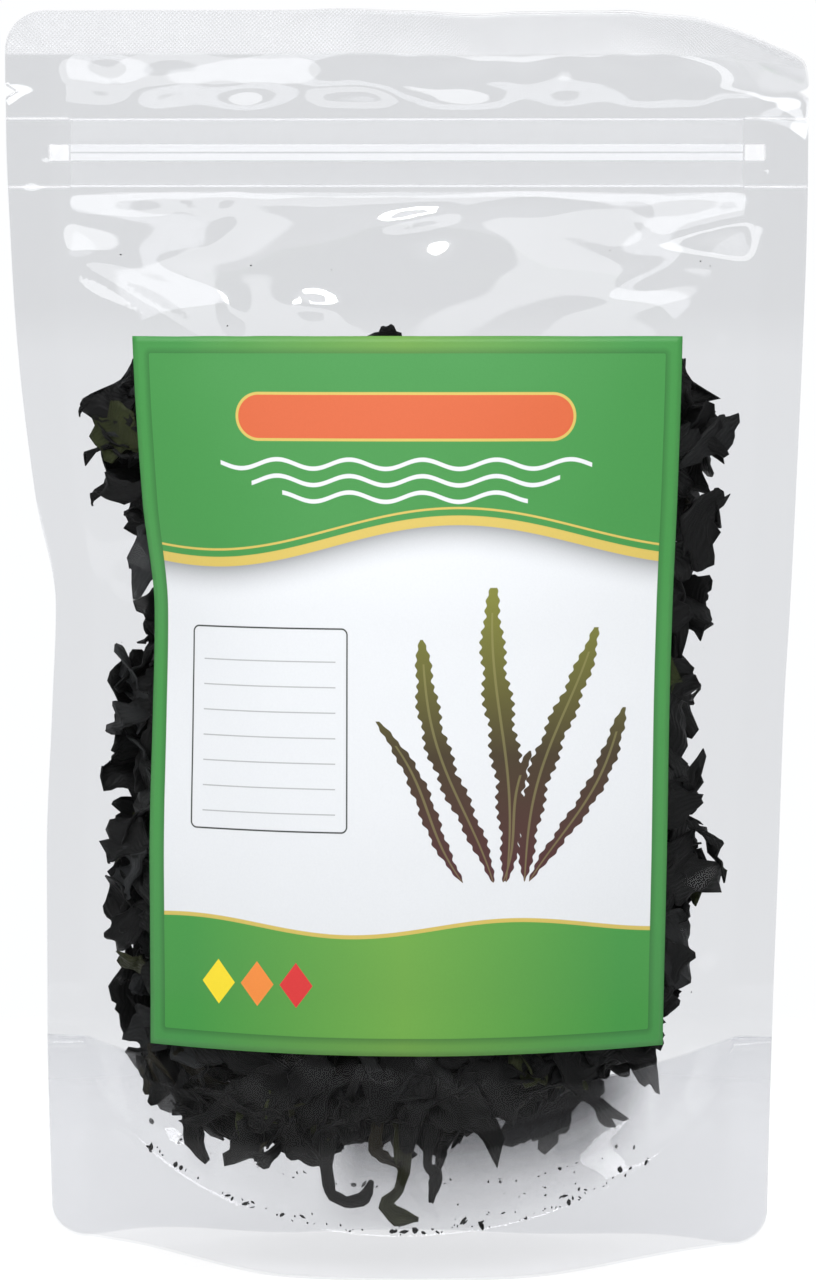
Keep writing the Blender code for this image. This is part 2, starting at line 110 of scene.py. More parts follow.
def ramp(low, high, x):
    """0 below low, 1 above high, and a smooth step between."""
    u = min(max((x - low) / (high - low), 0.0), 1.0)
    return u * u * (3 - 2 * u)


def mix(a, b, share):
    return a + (b - a) * share


def half_depth(s, t, front):
    """From the middle plane to a panel's mid surface."""
    q = min(abs(s) / HALF_CAVITY, 1.0)
    pillow = 1 - q * q
    flat = 1 - ramp(FLAT_UNTIL / HALF_CAVITY, 1.0, q)
    shape = mix(pillow, flat, ramp(*ZIP_FLAT, t))
    depth = mix(GUSSETED_FIN, SEALED_FIN, ramp(*FIN_CLOSES, t)) + bow(t) * shape
    if not front:
        return depth + 0.0006 * pillow * (1 - ramp(*ZIP_FLAT, t))
    away = ((s + 0.058) / 0.014) ** 2 + ((t - 0.122) / 0.018) ** 2
    return depth - 0.0035 * math.exp(-away) * pillow ** 0.5


def across(s, t):
    """The x of a film line: the bowed film draws its side edges in, more on the left."""
    left, right = left_edge(t), right_edge(t)
    return s * ((right + left) + (right - left) * s / HALF_WIDTH) / (2 * HALF_WIDTH)


def film_line(x, t):
    """The s whose film line passes through x at height t."""
    s = x
    for _ in range(4):
        s += x - across(s, t)
    return s


BEND_RADIUS = 0.020
BEND_WAY = (0.6, 0.8)
LEAN_START = 0.2315


def bent(x, y, s, t):
    """Where a point at x and y goes: the foot lifts at its ends, the top leans and its right corner bends."""
    past = (s - FLAT_UNTIL) * BEND_WAY[0] + (t - 0.2305) * BEND_WAY[1]
    if past > 0:
        turn = past / BEND_RADIUS
        drawn_in = past - (BEND_RADIUS + y) * math.sin(turn)
        x -= drawn_in * BEND_WAY[0]
        t -= drawn_in * BEND_WAY[1]
        y = y * math.cos(turn) - BEND_RADIUS * (1 - math.cos(turn))
    if t <= LEAN_START:
        rise = 0.0038 if s < 0 else 0.0026
        rise *= ramp(0.30, 0.80, abs(s) / HALF_WIDTH) * max(0.0, 1 - t / 0.030) ** 2
        return Vector((x, y, t + rise))
    run = t - LEAN_START
    turn = math.radians(30) * ramp(-0.045, 0.015, s) * run / (HEIGHT - LEAN_START) + 1e-6
    chord = run * math.sin(turn / 2) / (turn / 2)
    return Vector((x, y * math.cos(turn) - chord * math.sin(turn / 2),
                   LEAN_START + chord * math.cos(turn / 2) + y * math.sin(turn)))


print("bow at the foot, the waist and the zip, mm:", [round(1000 * bow(t), 1) for t in (0, 0.12, 0.2225)])

# %% [markdown]
# ## Folds and ripples
#
# Real film is never as smooth as a formula. It puckers between the zip and the top weld, folds where
# the pillow flattens towards the zip, and is pushed out by flakes. Gloss makes even a tenth of a
# millimetre show, so these forms are moved into the mesh and aren't painted. Each fold is a soft crest
# along a line on the flat pouch.

# %% Folds, as (from s, from t, to s, to t, half width, height) in millimetres
FRONT_FOLDS = (
    (-69, 201.5, -44, 187.5, 2.6, 1.10), (-36.5, 194, -32.5, 187.5, 2.3, 1.00),
    (-23, 192.5, -14, 191.5, 2.2, 0.95),
    (-5, 208, 9, 210.5, 1.6, 0.85), (46, 204.5, 71, 209.5, 3.2, 1.20), (46, 211, 50, 206, 1.6, 0.6),
    (-70, 209, -38, 211, 3.4, 0.45), (-46, 213, -40, 207, 1.8, 0.35), (-34, 213, -40, 206, 1.8, 0.35),
    (2, 197, 18, 211, 5.0, 0.35), (20, 211, 60, 198, 4.0, 0.40), (28, 193, 56, 196, 3.0, -0.35),
    (62, 196, 66, 150, 3.0, 0.25), (-67, 176, -64, 132, 2.6, 0.25),
    (-28, 24, -25, 10, 2.0, 0.8), (-53, 42, -48, 30, 1.3, 0.5), (-2, 21, 9, 8, 1.5, 0.8),
    (9, 8, 19, 10, 1.4, 0.6), (29, 28, 46, 34, 1.4, 0.8), (44, 33, 63, 46, 1.5, 0.9),
    (8, 24, 33, 29, 1.4, 0.6),
    (31, 18, 44, 29, 1.4, 0.6), (44, 18, 29, 27, 1.4, 0.5), (56, 26, 64, 44, 2.0, 0.7),
    (24, 40, 50, 37, 3.6, 0.7),
    (-60, 24, -66, 44, 2.0, 0.45), (-60, 34, -50, 22, 1.8, 0.35), (-73.5, 223.5, -70.5, 221.5, 1.3, 0.45),
    (70.0, 222.5, 73.0, 218.5, 1.4, 0.45), (-75.5, 218.0, -74.5, 217.0, 0.9, 0.3),
)
BACK_FOLDS = (
    (-60, 204, -30, 192, 3.5, 0.6), (-10, 206, 24, 198, 3.5, 0.5), (38, 194, 66, 206, 3.0, 0.6),
    (-66, 150, -60, 112, 3.0, 0.5), (64, 140, 58, 100, 3.0, 0.5), (-50, 44, -20, 30, 3.0, 0.6),
    (12, 28, 52, 46, 3.0, 0.6), (-8, 60, 22, 44, 3.5, 0.4),
)


def fold(s, t, line):
    """Height of one fold's crest at a film point, in metres."""
    a, b, c, d, half_width, height = line
    reach = 3 * half_width
    if not min(b, d) - reach < 1000 * t < max(b, d) + reach:
        return 0.0
    along = Vector((c - a, d - b))
    away = Vector((1000 * s - a, 1000 * t - b))
    share = min(max(away.dot(along) / along.length_squared, 0.0), 1.0)
    distance = (away - share * along).length / half_width
    if distance > 3:
        return 0.0
    return 0.001 * height * math.sin(math.pi * mix(0.12, 0.88, share)) * math.exp(-distance ** 1.6)


def rough(s, t, grain, seed):
    """Smooth noise between about -1 and 1, with features about grain metres apart."""
    return 1.6 * noise.noise(Vector((s / grain, t / grain, seed)))


def ripple(s, t, front):
    """How far the film stands out from its smooth form."""
    q = min(abs(s) / HALF_CAVITY, 1.0)
    free = 1 - ramp(0.9, 1.0, q)
    seed = 3.0 if front else 11.0
    head = ramp(0.184, 0.192, t) * (1 - ramp(0.208, 0.2155, t)) * free
    body = ramp(0.030, 0.050, t) * (1 - ramp(0.180, 0.190, t)) * free
    labelled = front and abs(s) < HALF_LABEL + 0.002 and LABEL_BOTTOM - 0.002 < t < LABEL_TOP + 0.002
    out = 0.00045 * head * rough(s, t, 0.016, seed)
    out += 0.00012 * body * rough(s, t, 0.022, seed)
    if not labelled:
        out += 0.00022 * body * rough(s, t, 0.007, seed + 1)
    out += 0.00008 * free * rough(s, t, 0.012, seed + 2)
    seal_line = math.exp(-((abs(s) - HALF_CAVITY - 0.0004) / 0.0005) ** 2)
    out += 0.00012 * seal_line * (1 if t < HEIGHT - TOP_SEAL else 0)
    tape = 1 - ramp(0.5 * ZIP_FLANGE - 0.0003, 0.5 * ZIP_FLANGE + 0.0006, abs(t - ZIP_MIDDLE))
    out += 0.00022 * tape * ramp(0.0676, 0.0690, abs(s)) * (1 - ramp(0.0775, 0.080, abs(s)))
    for line in FRONT_FOLDS if front else BACK_FOLDS:
        out += fold(s, t, line)
    return out


def sway(s, t):
    """How far both films move together, where they lie on each other: the puckered band above the zip."""
    band = ramp(0.2305, 0.236, t)
    crest = 1.25 * rough(s, 0.6 * t, 0.024, 21.0) + 0.40 * rough(s, t, 0.009, 22.0)
    return 0.0009 * band * crest + 0.0005 * band * ramp(0.244, HEIGHT, t) * rough(s, 0, 0.030, 23.0)


def panel_point(s, t, side, outward=0.0):
    """A point on the front (side -1) or back (side 1) panel, moved outward from its mid surface."""
    front = side < 0
    depth = half_depth(s, t, front) + ripple(s, t, front)
    here = bent(across(s, t), side * depth + sway(s, t), s, t)
    if not outward:
        return here
    step = 4e-4
    over = panel_point(s + step, t, side) - panel_point(s - step, t, side)
    up = panel_point(s, t + step, side) - panel_point(s, t - step, side)
    return here + side * -outward * over.cross(up).normalized()


def rounded(s, t):
    """Film lines near a corner, drawn in so that the flat pouch's corner is round."""
    a = (abs(s) - (HALF_WIDTH - CORNER_RADIUS)) / CORNER_RADIUS
    low = t < HEIGHT / 2
    b = 1 - (t if low else HEIGHT - t) / CORNER_RADIUS
    if a <= 0 or b <= 0:
        return s, t
    fit = CORNER_RADIUS * max(a, b) / math.hypot(a, b)
    corner_t = CORNER_RADIUS if low else HEIGHT - CORNER_RADIUS
    return math.copysign(HALF_WIDTH - CORNER_RADIUS + a * fit, s), corner_t + (-b if low else b) * fit


print("highest ripple in the headspace, mm:", round(1000 * ripple(-0.055, 0.198, True), 2))

# %% [markdown]
# ## Shader sums in plain Python
#
# A material is a graph of nodes, and a long sum is hard to read as a graph. One small class wraps a
# socket, so that plus, minus and times add the Math nodes. A second class holds one material and adds
# any other node.


# %% A socket that takes part in sums, and a finish that holds nodes
class Term:
    def __init__(self, finish, socket):
        self.finish = finish
        self.socket = socket

    def math(self, operation, *others, clamp=False):
        return self.finish.node("Math", {"operation": operation, "use_clamp": clamp}, (self, *others))

    def __add__(self, other):
        return self.math("ADD", other)

    def __radd__(self, other):
        return self.math("ADD", other)

    def __sub__(self, other):
        return self.math("SUBTRACT", other)

    def __rsub__(self, other):
        return self.finish.node("Math", {"operation": "SUBTRACT"}, (other, self))

    def __mul__(self, other):
        return self.math("MULTIPLY", other)

    def __rmul__(self, other):
        return self.math("MULTIPLY", other)

    def __truediv__(self, other):
        return self.math("DIVIDE", other)

    def __pow__(self, other):
        return self.math("POWER", other)

    def __neg__(self):
        return self.math("MULTIPLY", -1.0)

    def __abs__(self):
        return self.math("ABSOLUTE")

    def sin(self):
        return self.math("SINE")

    def most(self, other):
        return self.math("MAXIMUM", other)

    def least(self, other):
        return self.math("MINIMUM", other)

    def held(self):
        return self.math("ADD", 0.0, clamp=True)


class Finish:
    def __init__(self, name, made=None):
        self.material = made or bpy.data.materials.new(name)
        self.material.use_nodes = True
        self.tree = self.material.node_tree
        self.tree.nodes.clear()

    def node(self, kind, settings=None, values=(), output=0):
        """Adds a node, sets its settings, then its sockets from a tuple or a dict, and returns one output."""
        made = self.tree.nodes.new("ShaderNode" + kind)
        for name, value in (settings or {}).items():
            if name == "stops":
                while len(made.color_ramp.elements) < len(value):
                    made.color_ramp.elements.new(1.0)
                for element, (place, colour) in zip(made.color_ramp.elements, value):
                    element.position = place
                    element.color = (*colour, 1.0)
            else:
                setattr(made, name, value)
        pairs = values.items() if isinstance(values, dict) else enumerate(values)
        for key, value in pairs:
            if isinstance(value, Term):
                self.tree.links.new(value.socket, made.inputs[key])
            else:
                made.inputs[key].default_value = value
        return Term(self, made.outputs[output]) if made.outputs else None

    def noise(self, coordinates, scale, detail=3.0, roughness=0.5):
        """Noise between 0 and 1."""
        return self.node("TexNoise", None, {"Vector": coordinates, "Scale": scale, "Detail": detail,
                                            "Roughness": roughness})

    def blend(self, share, a, b):
        """Colour a, turning to colour b as share goes from 0 to 1."""
        a, b = (c if isinstance(c, Term) else (*c, 1.0) for c in (a, b))
        return self.node("Mix", {"data_type": "RGBA"}, {0: share, 6: a, 7: b}, 2)

    def parts(self, vector):
        """The x, y and z of a vector."""
        split = self.node("SeparateXYZ", None, (vector,))
        return split, Term(self, split.socket.node.outputs[1]), Term(self, split.socket.node.outputs[2])

    def bump(self, height, distance, strength=1.0):
        return self.node("Bump", None, {"Height": height, "Distance": distance, "Strength": strength})

    def principled(self, **sockets):
        named = {name.replace("_", " "): value for name, value in sockets.items()}
        return self.node("BsdfPrincipled", None, named)

    def show(self, shader):
        self.node("OutputMaterial", None, (shader,))
        return self.material


# %% [markdown]
# ## Sheets that become film
#
# Film, gusset and label are all the same job: a grid whose lines are laid where the film is, and a
# Solidify modifier that gives it its thickness on both sides. A UV map keeps the place on the flat
# pouch, from 0 to 1, because the weld's pattern and the print follow the film and not the room.


# %% A helper that lays a grid on a form
def spaced(*runs):
    """Grid lines from (start, end, steps) runs that follow each other."""
    lines = [runs[0][0]]
    for start, end, steps in runs:
        lines += [mix(start, end, i / steps) for i in range(1, steps + 1)]
    return lines


def link(name, bm, material):
    """Makes a piece from a bmesh."""
    mesh = bpy.data.meshes.new(name)
    bm.to_mesh(mesh)
    bm.free()
    piece = bpy.data.objects.new(name, mesh)
    scene.collection.objects.link(piece)
    mesh.materials.append(material)
    mesh.shade_smooth()
    return piece


def laid_sheet(name, columns, rows, place, thickness, material, turned=False):
    """A grid with these lines, laid by place(column, row) and given its thickness."""
    bm = bmesh.new()
    flat = bm.loops.layers.uv.new("flat")
    last_column, last_row = len(columns) - 1, len(rows) - 1
    bmesh.ops.create_grid(bm, x_segments=last_column, y_segments=last_row, size=1.0)
    wide, high = columns[-1] - columns[0], rows[-1] - rows[0]
    for face in bm.faces:
        for loop in face.loops:
            u, v = (loop.vert.co.x + 1) / 2, (loop.vert.co.y + 1) / 2
            s, t = columns[round(u * last_column)], rows[round(v * last_row)]
            loop[flat].uv = ((s - columns[0]) / wide, (t - rows[0]) / high)
    for vertex in bm.verts:
        i, j = round((vertex.co.x + 1) / 2 * last_column), round((vertex.co.y + 1) / 2 * last_row)
        vertex.co = place(columns[i], rows[j])
    if turned:
        bmesh.ops.reverse_faces(bm, faces=bm.faces[:])
    piece = link(name, bm, material)
    wall = piece.modifiers.new("wall", "SOLIDIFY")
    wall.thickness = thickness
    wall.offset = 0.0
    return piece


def dressed(piece, slot, *nodes):
    """Says what a piece rides on and hides the solids it stands for. The slot is not used."""
    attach(piece, "root")
    if nodes:
        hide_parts(*nodes)
    print(piece.name, len(piece.data.polygons), "faces")
    return piece


# %% [markdown]
# ## Clear film
#
# Clear film does three things: it lets most light through, takes a little of it at each face, and
# mirrors the room more strongly the flatter you look along it. A Mix Shader of a faintly grey
# Transparent and a mirror does that. Its factor grows with Layer Weight's Facing, which is the same
# from both sides of a face. Each sheet is a closed wall, so light meets two faces: only the outer one
# mirrors, which halves the work. The top weld is knurled: a fine crosshatch that scatters the
# reflection, so a rougher mirror with a bump is mixed in there.


# %% The film's finish
def seen_through(film, passes, share, cloud, mirror):
    """Film that passes light, with a share of milkiness and of mirror on the outer face of its wall."""
    inner = film.node("NewGeometry", None, (), 6)
    through = film.node("BsdfTransparent", None, {"Color": (*passes, 1.0)})
    milk = film.principled(Base_Color=(0.92, 0.92, 0.93, 1.0), Roughness=0.6, Specular_IOR_Level=0.2)
    clouded = film.node("MixShader", None, (cloud, through, milk))
    outside = film.node("MixShader", None, (share, clouded, mirror))
    return film.node("MixShader", None, (inner, outside, through))


def mirror_face(film, roughness, **sockets):
    return film.principled(Base_Color=(0.98, 0.98, 0.99, 1.0), Metallic=1.0, Roughness=roughness, **sockets)


GLOSS, KNURLED_GLOSS = 0.035, 0.31
KNURL_PITCH_MM = 0.80
TAUT_FROM_MM = 182.0
CREASED_BELOW_MM = 27.0
ZIP_ENDS_MM, CRUSHED_UNTIL_MM = 67.2, 71.0


def panel_film():
    film = Finish("clear_film")
    u, v, _ = film.parts(film.node("UVMap", {"uv_map": "flat"}))
    across_mm, up_mm = (u - 0.5) * (2000 * HALF_WIDTH), v * (1000 * HEIGHT)
    aside_mm = abs(across_mm)
    weld = ((up_mm - 1000 * (HEIGHT - TOP_SEAL)) * 2.0).held()
    turns = math.tau / KNURL_PITCH_MM
    knurl = (across_mm * turns).sin() * (up_mm * turns).sin() * weld
    seal = ((aside_mm - 1000 * HALF_CAVITY) * 2.0).held()
    facing = film.node("LayerWeight", None, {"Blend": 0.5}, 1)
    taut = ((up_mm - TAUT_FROM_MM) / 10.0).held()
    creased = ((CREASED_BELOW_MM + 0.35 * (across_mm - 24.0).most(0.0) - up_mm) / 3.0).held()
    share = (0.008 + facing ** 5 + 0.048 * taut + 0.015 * creased + 0.008 * seal).held()
    from_zip = abs(up_mm - 1000 * ZIP_MIDDLE)
    tape_edge = (1 - abs(from_zip - 500 * ZIP_FLANGE) * 2.6).held()
    crushed = ((1.75 - from_zip) * 4.0).held() * (1 - ((aside_mm - CRUSHED_UNTIL_MM) * 1.5).held())
    pressed = ((aside_mm - ZIP_ENDS_MM) * 4.0).held()
    cloud = (weld * (0.04 + 0.110 * knurl) + (0.40 * tape_edge + 0.44 * crushed) * pressed).held()
    knurled = mirror_face(film, KNURLED_GLOSS, Normal=film.bump(knurl, 0.00012, 0.9))
    mirror = film.node("MixShader", None, (weld, mirror_face(film, GLOSS), knurled))
    return film.show(seen_through(film, (0.936, 0.938, 0.943), share, cloud, mirror))


film_look = panel_film()

# %% [markdown]
# ## The two panels
#
# Each panel is one sheet from the foot to the top edge. The tear notches are cut into its side edges
# before the film is sealed. In the mesh the edge's own points are drawn in to a wedge there, so no
# Boolean is needed, and extra grid lines keep the wedge sharp.

# %% The front and back panels
NOTCH_AT, NOTCH_HALF, NOTCH_DEPTH = 0.2347, 0.0012, 0.002
PANEL_COLUMNS = spaced((-HALF_WIDTH, -0.072, 10), (-0.072, 0.072, 116), (0.072, HALF_WIDTH, 10))
PANEL_ROWS = spaced((0.0, 0.008, 10), (0.008, 0.1865, 138), (0.1865, 0.2325, 44), (0.2325, 0.2369, 12),
                    (0.2369, 0.2428, 6), (0.2428, HEIGHT, 10))


def notched(s, t):
    """Film lines near a side edge, drawn in to the tear notch."""
    wedge = max(0.0, 1 - abs(t - NOTCH_AT) / NOTCH_HALF)
    reach = ramp(HALF_WIDTH - 0.006, HALF_WIDTH, abs(s))
    return s - math.copysign(NOTCH_DEPTH * wedge * reach, s)


def panel(name, side, node):
    def place(s, t):
        s, t = rounded(notched(s, t), t)
        return panel_point(s, t, side)
    sheet = laid_sheet(name, PANEL_COLUMNS, PANEL_ROWS, place, FILM, film_look, turned=side > 0)
    return dressed(sheet, "clear_film", node)


front_panel = panel("front_film", -1, "front_panel")
back_panel = panel("back_film", 1, "back_panel")

# %% [markdown]
# ## The bottom gusset
#
# One piece of film is folded up between the panels and sealed to each along an arch. Standing, its fold
# stays up as a ridge and the two troughs beside it open. The grid runs from the front foot over the
# ridge to the back foot: below the arch it lies on the panel, and above it crosses the pouch.

# %% The gusset film
GUSSET_TOP, GUSSET_LOW, RIDGE_MIDDLE = 0.044, 0.008, 0.032


def seal_arch(s):
    """Height of the arched seal that joins the gusset to a panel."""
    q = min(abs(s) / HALF_CAVITY, 1.0)
    return GUSSET_TOP - (GUSSET_TOP - GUSSET_LOW) * math.sqrt(1 - q * q)


def ridge_height(s):
    q = min(abs(s) / HALF_CAVITY, 1.0)
    return mix(RIDGE_MIDDLE, 0.045 - FILM, q * q)


def gusset_reach(s):
    return half_depth(s, seal_arch(s), True) - 0.5 * FILM - GAP - FILM


def gusset_point(s, w):
    """A point on the gusset. w runs from -2, the front foot, by -1 and 1, the seal arches, to 2."""
    side, ply = math.copysign(1, w), abs(w)
    if ply >= 1:
        s, t = rounded(s, seal_arch(s) * (2 - ply))
        here = bent(across(s, t), side * (half_depth(s, t, True) - 0.5 * FILM - GAP - 0.5 * FILM), s, t)
        return here + Vector((0, 0, 0.0004 * (ply - 1)))
    arch = seal_arch(s)
    slack = 0.0007 * math.sin(math.pi * ply) * rough(s, 0.02 * w, 0.014, 31.0)
    return Vector((across(s, arch), side * gusset_reach(s) * ply, mix(ridge_height(s), arch, ply) + slack))


def gusset_film():
    """Clear film with painted shade: a grey that is darkest along the ridge, where the heap rests on it."""
    film = Finish("gusset_film")
    u, v, _ = film.parts(film.node("UVMap", {"uv_map": "flat"}))
    across_mm, ply = (u - 0.5) * (2000 * HALF_WIDTH), abs(v * 4.0 - 2.0)
    facing = film.node("LayerWeight", None, {"Blend": 0.5}, 1)
    # Painted shade of the heap: the film turns darker grey under the heap, most at the ridge, less towards
    # the seal arches.
    near_ridge = (1.25 - ply * 1.30).held()
    under_heap = ((across_mm + 20.0) / 9.0).held() * (1 - ((across_mm - 40.0) / 14.0).held())
    heap_shade = near_ridge * under_heap
    share = (0.016 + facing ** 5).held()
    clean = seen_through(film, (0.970, 0.971, 0.975), share, 0.08, mirror_face(film, GLOSS))
    # A dark grey pass that carries the painted shade.
    shaded_pass = film.node("BsdfTransparent", None, {"Color": (0.35, 0.35, 0.36, 1.0)})
    return film.show(film.node("MixShader", None, (0.60 * heap_shade, clean, shaded_pass)))


GUSSET_PLIES = spaced((-2, -1, 18), (-1, -0.04, 16), (-0.04, 0.04, 3), (0.04, 1, 16), (1, 2, 18))
gusset = laid_sheet("gusset_film", PANEL_COLUMNS, GUSSET_PLIES, gusset_point, FILM, gusset_film())
dressed(gusset, "clear_film", "bottom_gusset")

# %% [markdown]
# ## The zip
#
# The zip's two strips are extruded from the same clear plastic, thicker than the film. The flanges only
# lift the tone a little, but the hooked lips and the rib bend the light so much that they look white.
# The CAD strips have the right section, so they stay. Their finish turns from clear to an opaque white at the
# lips, the rib and the flanges' edges: a painted highlight for the light they bend.

# %% The zip strips' finish
zip_look = Finish("zip_strip")
_, _, height = zip_look.parts(zip_look.node("TexCoord", None, (), 3))
from_middle = abs(height * 1000 - 1000 * ZIP_MIDDLE)
# Painted highlight: the lips, the rib and the flanges' edges turn opaque white for the light they bend; the
# faint haze elsewhere is the plastic's own.
lips = ((1.75 - from_middle) * 4.0).held()
slit = ((0.25 - from_middle) * 6.0).held()
flange_end = ((from_middle - (500 * ZIP_FLANGE - 0.45)) * 5.0).held()
milk = (0.05 + 0.85 * lips - 0.35 * slit + 0.5 * flange_end).held()
strip_shader = zip_look.principled(Base_Color=(0.96, 0.963, 0.97, 1.0), Roughness=0.22, Alpha=milk,
                                   Specular_IOR_Level=0.5)
zip_look.show(strip_shader)
for node in ("zip_lips_front", "zip_rib_back"):
    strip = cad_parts[node]
    strip.data.materials.clear()
    strip.data.materials.append(zip_look.material)

# %% [markdown]
# ## The printed label
#
# The label is paper with a satin print. The pattern is worked out on the label's own millimetres, from
# its UV map. Each motif is a distance: how far a point lies outside a shape. Turned to a mask it mixes
# one ink over another, as a printer would lay them down. The motifs here are plain ones: a wavy field,
# a bar, fronds, a ruled box and three lozenges.

# %% The print
LABEL_MM = (111.0, 141.0)
ink = Finish("label_print")
u, v, _ = ink.parts(ink.node("UVMap", {"uv_map": "flat"}))
x, y = (u - 0.5) * LABEL_MM[0], v * LABEL_MM[1]


def inside(distance, soft=0.12):
    """1 where the distance in millimetres is below 0, with a soft edge."""
    return (0.5 - distance / soft).held()


def box_distance(left, right, low, high, radius=0.0):
    along = (abs(x - (left + right) / 2) - ((right - left) / 2 - radius)).most(0.0)
    up = (abs(y - (low + high) / 2) - ((high - low) / 2 - radius)).most(0.0)
    return (along * along + up * up) ** 0.5 - radius


def frond(foot, lean, top, half_width, sway_mm, phase):
    """A strap of seaweed with lobed edges that grows from the white field's foot, and its midrib."""
    low = 34.0
    share = ((y - low) / (top - low)).held()
    middle = foot + lean * share + sway_mm * (share * 5.0 + phase).sin()
    belly = (share * (1.02 - share) * 4.0).most(0.0) ** 0.5
    lobes = 0.70 + 0.22 * abs((share * 17.0 + phase).sin()) + 0.10 * (y * 3.1 + phase).sin()
    aside = abs(x - middle)
    blade = (aside - half_width * belly * lobes + 0.3).most(y - top)
    midrib = aside.most(y - top + 5) - 0.05 - 0.22 * belly
    return blade, midrib


GREEN, YELLOW_GREEN, DEEP_GREEN = (0.046, 0.235, 0.052), (0.170, 0.300, 0.040), (0.014, 0.085, 0.018)
GOLD, ORANGE, WHITE = (0.540, 0.410, 0.095), (0.550, 0.105, 0.034), (0.640, 0.655, 0.675)
centre = (1 - abs(x) / 46.0).held()
paper = ink.blend(centre * 0.55, GREEN, YELLOW_GREEN)
panel_edge = box_distance(-52.2, 52.2, 3.4, 137.6, 0.4)
paper = ink.blend((0.62 - panel_edge / 2.2).held() * 0.85, paper, DEEP_GREEN)
wave = y - (101.0 + 4.2 * (x * 0.0605 + 0.9).sin())
low_wave = y - (25.0 + 1.6 * (x * 0.0900 - 0.5).sin())
in_panel = inside(panel_edge)
shade = (1 + (wave + 1.0) / 7.0).held()
field = ink.blend(inside(wave), GREEN, ink.blend(shade * shade * 0.75, WHITE, (0.150, 0.155, 0.160)))
field = ink.blend(inside(abs(wave + 0.1) - 0.95), field, GOLD)
field = ink.blend(inside(abs(wave - 2.3) - 0.22), field, GOLD)
low_green = ink.blend(centre * 0.8, (0.045, 0.250, 0.045), (0.150, 0.340, 0.050))
field = ink.blend(inside(low_wave), field, low_green)
field = ink.blend(inside(abs(low_wave) - 0.4), field, GOLD)
bar = box_distance(-34.0, 34.0, 121.0, 129.5, 4.2)
field = ink.blend(inside(bar - 0.55), field, GOLD)
field = ink.blend(inside(bar), field, ORANGE)
for level in (116.0, 112.8, 109.6):
    ripple_line = abs(y - (level + 0.9 * (x * 0.42).sin())) - 0.42
    reach = abs(x) - (38.0 - (116.0 - level) * 2.0)
    field = ink.blend(inside(ripple_line.most(reach)), field, WHITE)
olive_to_maroon = ink.node("ValToRGB", {"stops": ((0.0, (0.060, 0.012, 0.016)), (0.45, (0.045, 0.030, 0.012)),
                                                  (1.0, (0.170, 0.175, 0.030)))}, ((y - 34.0) / 56.0,))
fronds, ribs = None, None
for foot, lean, top, half_width, sway_mm, phase in (
        (21.0, -1.0, 92.0, 3.7, 1.6, 0.4), (17.0, -14.0, 82.0, 3.2, 2.0, 1.7),
        (25.0, 13.0, 84.0, 3.3, 2.0, 2.9), (14.0, -20.0, 66.0, 2.5, 1.6, 4.1),
        (28.0, 19.0, 68.0, 2.7, 1.7, 5.0), (20.0, 7.0, 60.0, 2.3, 1.2, 0.9)):
    leaf, rib = frond(foot, lean, top, half_width, sway_mm, phase)
    fronds = leaf if fronds is None else fronds.least(leaf)
    ribs = rib if ribs is None else ribs.least(rib)
field = ink.blend(inside(fronds), field, olive_to_maroon)
field = ink.blend(inside(ribs) * inside(fronds) * 0.35, field, (0.300, 0.280, 0.110))
frame_line = abs(box_distance(-46.0, -12.0, 44.0, 84.0, 1.2)) - 0.16
field = ink.blend(inside(frame_line), field, (0.030, 0.035, 0.030))
rule = abs((y / 5.0).math("FRACT") - 0.5) * 5.0
rules = (rule - 0.09).most(box_distance(-43.5, -14.5, 47.0, 81.0))
field = ink.blend(inside(rules), field, (0.080, 0.090, 0.080))
LOZENGES = ((-40.0, (0.800, 0.620, 0.020)), (-31.5, (0.760, 0.230, 0.040)), (-23.0, (0.600, 0.030, 0.030)))
for middle, colour in LOZENGES:
    lozenge = abs(x - middle) + abs(y - 13.5) * 0.8 - 3.6
    field = ink.blend(inside(lozenge), field, colour)
paper = ink.blend(in_panel, paper, field)
grain = ink.noise(ink.node("TexCoord", None, (), 3), 2600.0, 2.0)
paper = ink.blend(grain * 0.06, paper, (0.0, 0.0, 0.0))
ink.show(ink.principled(Base_Color=paper, Roughness=(0.40 + 0.12 * grain).held(), Specular_IOR_Level=0.35,
                        Normal=ink.bump(grain, 0.00003, 0.4)))

# %% The label on the front panel
LABEL_COLUMNS = spaced((-HALF_LABEL, HALF_LABEL, 92))
LABEL_ROWS = spaced((LABEL_BOTTOM, LABEL_TOP, 112))
LABEL_OUT = 0.5 * FILM + GAP + 0.5 * LABEL_THICKNESS


def label_place(s, t):
    return panel_point(s, t, -1, LABEL_OUT)


label = laid_sheet("printed_label", LABEL_COLUMNS, LABEL_ROWS, label_place, LABEL_THICKNESS, ink.material)
dressed(label, "label_print", "label")

# %% [markdown]
# ## Dried wakame
#
# Dried wakame is thin leaf that has shrunk into ragged, crumpled, curled pieces, so dark that only its
# edges and its dull sheen show. One flake is a small grid: its sides are drawn in to a ragged outline,
# it curls round its length, and noise crumples it. Wherever a point would pass through the film it is
# pressed flat against it, as the real flakes are. A dark core fills the middle of the heap, and
# hundreds of flakes stand out of it.

